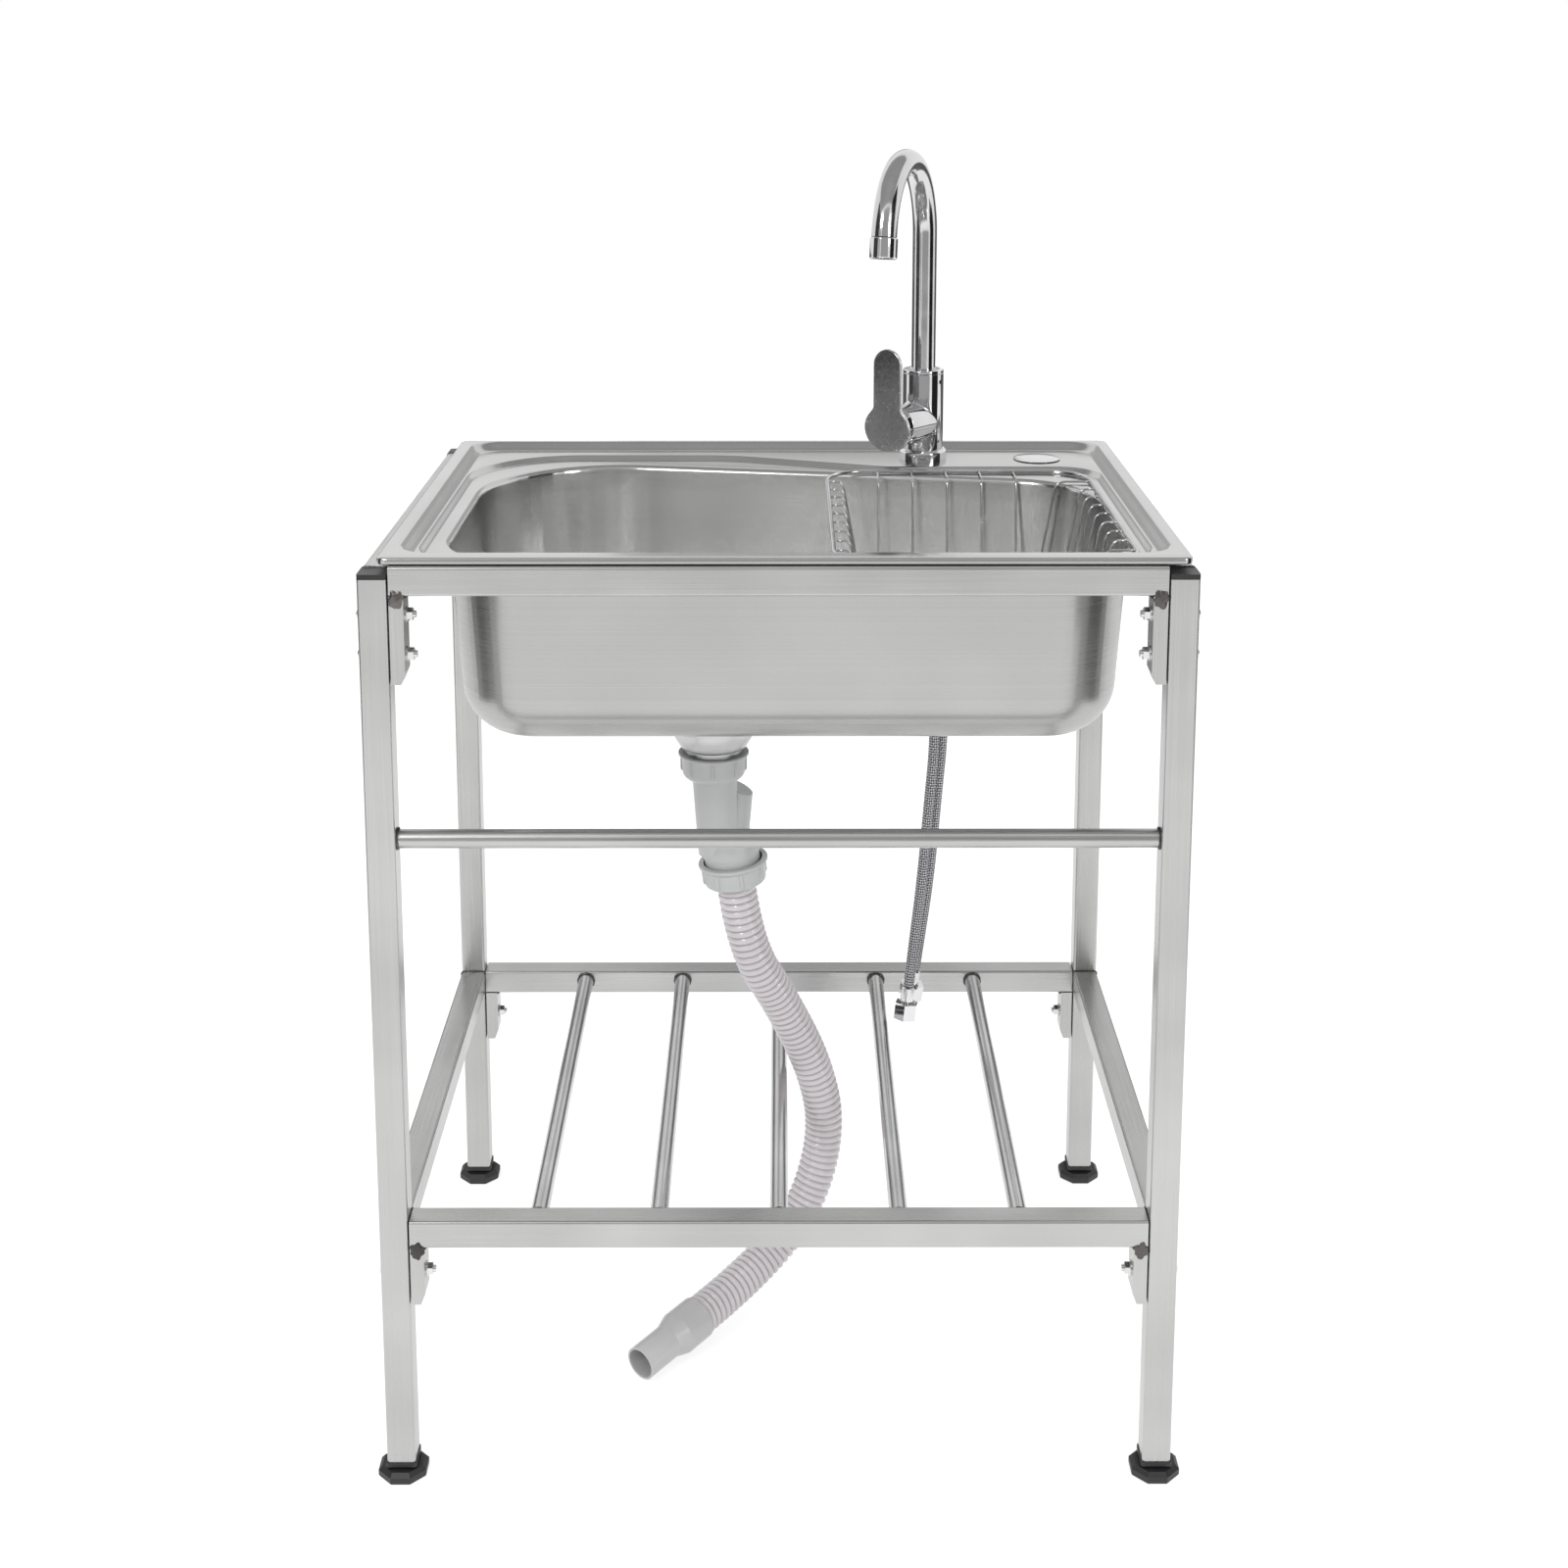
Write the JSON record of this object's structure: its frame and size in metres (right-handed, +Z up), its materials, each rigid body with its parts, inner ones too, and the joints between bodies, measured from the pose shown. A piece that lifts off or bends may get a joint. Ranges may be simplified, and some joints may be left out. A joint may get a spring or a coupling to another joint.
{
  "type": "kitchen sink unit",
  "caption": "Free-standing single-bowl steel sink on a bolted square-tube stand with shelf, swan-neck mixer faucet, wire basket, drain with ribbed waste hose and braided supply hoses.",
  "frame": {"origin": "on the floor under the middle of the stand", "axes": "+X to the right seen from the front, +Y to the back, +Z up"},
  "size_m": [0.707, 0.542, 1.144],
  "materials": {
    "brushed_stand": "brushed",
    "pressed_sink": "satin",
    "chrome_faucet": "polished",
    "spout_steel": "polished",
    "fastener_steel": "polished",
    "wire_steel": "polished",
    "cup_steel": "satin",
    "black_plastic": "matte",
    "black_rubber": "matte",
    "grey_plastic": "satin",
    "hose_plastic": "glossy",
    "braid": "braided steel over rubber",
    "brass": "machined",
    "cartridge_plastic": "matte"
  },
  "bodies": {
    "stand": {"leg_front_left": "brushed_stand", "leg_front_right": "brushed_stand", "leg_back_left": "brushed_stand", "leg_back_right": "brushed_stand", "foot_sockets": "black_plastic", "leg_caps": "black_plastic", "frame_bolts": "fastener_steel", "frame_nuts": "fastener_steel", "top_rail_left": "brushed_stand", "top_rail_right": "brushed_stand", "top_rail_front": "brushed_stand", "top_rail_back": "brushed_stand", "shelf_rail_left": "brushed_stand", "shelf_rail_right": "brushed_stand", "shelf_rail_front": "brushed_stand", "shelf_rail_back": "brushed_stand", "rail_tabs": "brushed_stand", "shelf_bars": "brushed_stand", "front_brace": "brushed_stand", "sink": "pressed_sink", "sound_pad": "black_rubber", "drain_cup": "cup_steel", "drain_seal": "black_rubber", "drain_lock_ring": "black_plastic", "drain_nut": "grey_plastic", "tail_pipe": "grey_plastic", "hose_nut": "grey_plastic", "waste_hose": "hose_plastic", "hose_cuff": "hose_plastic", "faucet_base": "chrome_faucet", "faucet_body": "chrome_faucet", "faucet_shank": "brass", "faucet_washer": "black_rubber", "faucet_nut": "brass", "spout_collar": "chrome_faucet", "spout_screw": "fastener_steel", "cartridge": "cartridge_plastic", "bonnet": "chrome_faucet", "hole_cover": "chrome_faucet", "cover_nut": "black_plastic", "cold_hose": "braid", "hot_hose": "braid", "supply_ferrules": "fastener_steel"},
    "strainer": {"strainer": "cup_steel", "strainer_plug": "black_rubber"},
    "spout": {"spout": "spout_steel", "aerator": "chrome_faucet", "aerator_screen": "cartridge_plastic"},
    "cartridge_carrier": {"cartridge_carrier": "cartridge_plastic"},
    "lever": {"lever": "chrome_faucet", "lever_stem": "fastener_steel"},
    "basket": {"basket_rim": "wire_steel", "basket_cross_wires": "wire_steel", "basket_long_wires": "wire_steel"},
    "cold_nut": {"cold_nut": "chrome_faucet"},
    "hot_nut": {"hot_nut": "chrome_faucet"},
    "foot_front_left": {"foot_front_left": "black_plastic"},
    "foot_front_right": {"foot_front_right": "black_plastic"},
    "foot_back_left": {"foot_back_left": "black_plastic"},
    "foot_back_right": {"foot_back_right": "black_plastic"}
  },
  "joints": [
    {"name": "foot_turn_front_left", "type": "hinge", "parent": "stand", "child": "foot_front_left", "pos_m": [-0.3325, -0.25, 0], "axis": [0, 0, 1], "continuous": true},
    {"name": "foot_turn_front_right", "type": "hinge", "parent": "stand", "child": "foot_front_right", "pos_m": [0.3325, -0.25, 0], "axis": [0, 0, 1], "continuous": true},
    {"name": "foot_turn_back_left", "type": "hinge", "parent": "stand", "child": "foot_back_left", "pos_m": [-0.3325, 0.25, 0], "axis": [0, 0, 1], "continuous": true},
    {"name": "foot_turn_back_right", "type": "hinge", "parent": "stand", "child": "foot_back_right", "pos_m": [0.3325, 0.25, 0], "axis": [0, 0, 1], "continuous": true},
    {"name": "strainer_lift", "type": "slide", "parent": "stand", "child": "strainer", "axis": [0, 0, 1], "range_m": [0, 0.08]},
    {"name": "spout_swivel", "type": "hinge", "parent": "stand", "child": "spout", "pos_m": [0.146, 0.187, 0.915], "axis": [0, 0, 1], "continuous": true},
    {"name": "lever_turn", "type": "hinge", "parent": "stand", "child": "cartridge_carrier", "pos_m": [0.146, 0.187, 0.866], "axis": [-0.6157, -0.788, 0], "range_deg": [-45, 45]},
    {"name": "lever_lift", "type": "hinge", "parent": "cartridge_carrier", "child": "lever", "pos_m": [0.12137, 0.15548, 0.866], "axis": [0.788, -0.6157, 0], "range_deg": [0, 25]},
    {"name": "basket_slide", "type": "slide", "parent": "stand", "child": "basket", "axis": [-1, 0, 0], "range_m": [0, 0.055]},
    {"name": "cold_nut_spin", "type": "hinge", "parent": "stand", "child": "cold_nut", "pos_m": [0.136, 0.158, 0.266], "axis": [-0.1077, -0.0861, -0.9905], "continuous": true},
    {"name": "hot_nut_spin", "type": "hinge", "parent": "stand", "child": "hot_nut", "pos_m": [0.144, 0.187, 0.272], "axis": [-0.1286, 0.1072, -0.9859], "continuous": true}
  ]
}
